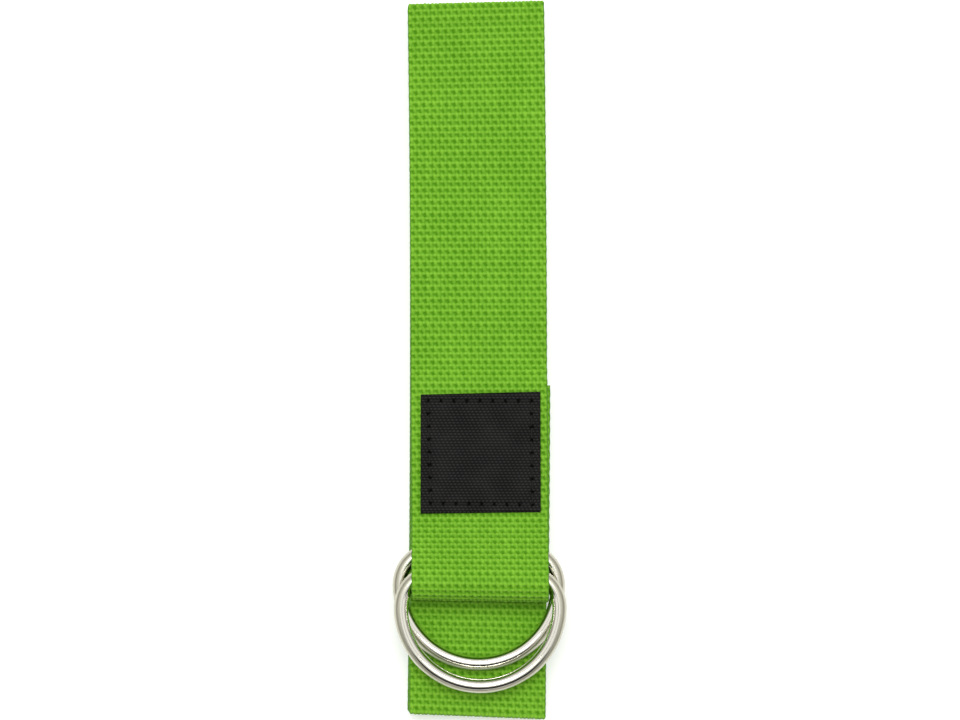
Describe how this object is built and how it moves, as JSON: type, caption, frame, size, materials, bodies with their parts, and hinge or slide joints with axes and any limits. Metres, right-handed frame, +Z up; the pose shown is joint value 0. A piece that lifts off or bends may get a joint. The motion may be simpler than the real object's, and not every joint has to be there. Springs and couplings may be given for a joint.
{
  "type": "stretching strap",
  "caption": "Folded webbing exercise strap with two D-rings held in a sewn loop and a dark stitched patch.",
  "frame": {"origin": "middle of the folded pack's box, on its underside", "axes": "+Z up out of the pack; the strap's length and the folded pack's long side run along Y, with the rings at -Y; its width runs along X"},
  "size_m": [0.0476, 0.1985, 0.0288],
  "materials": {
    "webbing": "coarse basket weave, lime green",
    "ring_steel": "bright nickel plate",
    "patch": "matt black with a fine diagonal twill grain",
    "thread": "black polyester sewing thread"
  },
  "bodies": {
    "free_end": {"strap_free_end": "webbing"},
    "run_2": {"strap_run_2": "webbing"},
    "run_3": {"strap_run_3": "webbing"},
    "run_4": {"strap_run_4": "webbing"},
    "run_5": {"strap_run_5": "webbing"},
    "run_6": {"strap_run_6": "webbing"},
    "run_7": {"strap_run_7": "webbing"},
    "run_8": {"strap_run_8": "webbing"},
    "ring_end": {"strap_ring_end": "webbing", "patch": "patch", "patch_stitches": "thread", "patch_stitches_below": "thread"},
    "ring_under": {"d_ring_under": "ring_steel"},
    "ring_over": {"d_ring_over": "ring_steel"}
  },
  "joints": [
    {"name": "fold_1", "type": "hinge", "parent": "free_end", "child": "run_2", "pos_m": [0, -0.09925, 0.00175], "axis": [1, 0, 0], "range_deg": [0, 179.9]},
    {"name": "fold_2", "type": "hinge", "parent": "run_2", "child": "run_3", "pos_m": [0, 0.09925, 0.00365], "axis": [-1, 0, 0], "range_deg": [0, 179.9]},
    {"name": "fold_3", "type": "hinge", "parent": "run_3", "child": "run_4", "pos_m": [0, -0.09925, 0.00555], "axis": [1, 0, 0], "range_deg": [0, 179.9]},
    {"name": "fold_4", "type": "hinge", "parent": "run_4", "child": "run_5", "pos_m": [0, 0.09925, 0.00745], "axis": [-1, 0, 0], "range_deg": [0, 179.9]},
    {"name": "fold_5", "type": "hinge", "parent": "run_5", "child": "run_6", "pos_m": [0, -0.09925, 0.00935], "axis": [1, 0, 0], "range_deg": [0, 179.9]},
    {"name": "fold_6", "type": "hinge", "parent": "run_6", "child": "run_7", "pos_m": [0, 0.09925, 0.01125], "axis": [-1, 0, 0], "range_deg": [0, 179.9]},
    {"name": "fold_7", "type": "hinge", "parent": "run_7", "child": "run_8", "pos_m": [0, -0.09925, 0.01315], "axis": [1, 0, 0], "range_deg": [0, 179.9]},
    {"name": "fold_8", "type": "hinge", "parent": "run_8", "child": "ring_end", "pos_m": [0, 0.09925, 0.01505], "axis": [-1, 0, 0], "range_deg": [0, 179.9]},
    {"name": "ring_over_swing", "type": "hinge", "parent": "ring_end", "child": "ring_over", "pos_m": [0, -0.0603, 0.02285], "axis": [-1, 0, 0], "range_deg": [0, 165]},
    {"name": "ring_under_swing", "type": "hinge", "parent": "ring_end", "child": "ring_under", "pos_m": [0, -0.0523, 0.0191], "axis": [-1, 0, 0], "range_deg": [0, 6.7]}
  ],
  "couplings": [
    {"joint": "fold_2", "follows": "fold_1", "ratio": 1},
    {"joint": "fold_3", "follows": "fold_1", "ratio": 1},
    {"joint": "fold_4", "follows": "fold_1", "ratio": 1},
    {"joint": "fold_5", "follows": "fold_1", "ratio": 1},
    {"joint": "fold_6", "follows": "fold_1", "ratio": 1},
    {"joint": "fold_7", "follows": "fold_1", "ratio": 1},
    {"joint": "fold_8", "follows": "fold_1", "ratio": 1},
    {"joint": "ring_under_swing", "follows": "ring_over_swing", "ratio": 0.04}
  ]
}
